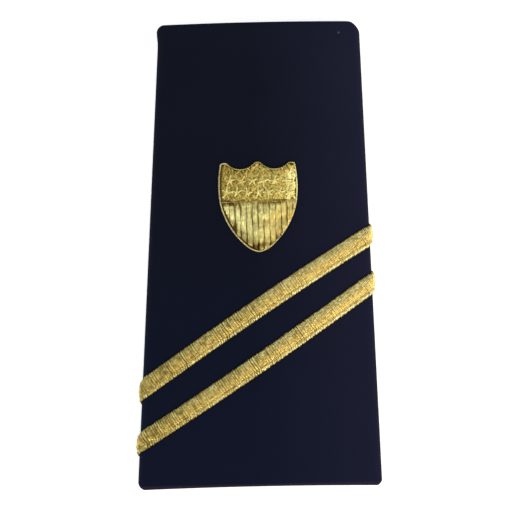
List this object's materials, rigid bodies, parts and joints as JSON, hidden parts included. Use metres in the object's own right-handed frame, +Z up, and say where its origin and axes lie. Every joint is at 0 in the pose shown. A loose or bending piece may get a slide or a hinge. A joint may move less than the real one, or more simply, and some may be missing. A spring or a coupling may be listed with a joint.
{
  "type": "slip-on epaulette",
  "caption": "Tapered slip-on cloth epaulette with slanting metallic braids and an embroidered shield, open at both ends for a shoulder strap.",
  "frame": {"origin": "on the surface that the epaulette lies on, under the middle of its back", "axes": "+Z up from the back to the face, +Y along the sleeve towards its narrow end, +X to the right when the face is seen with the narrow end up"},
  "size_m": [0.0576, 0.1095, 0.0094],
  "materials": {
    "navy_cloth": "fine dull navy twill",
    "gold_braid": "ribbed metallic gold braid",
    "gold_thread": "metallic gold embroidery"
  },
  "bodies": {
    "root": {"face_cloth": "navy_cloth", "back_cloth": "navy_cloth", "braid_upper": "gold_braid", "braid_lower": "gold_braid", "shield_border": "gold_thread", "shield_chief": "gold_thread", "shield_bars": "gold_thread"}
  },
  "joints": []
}
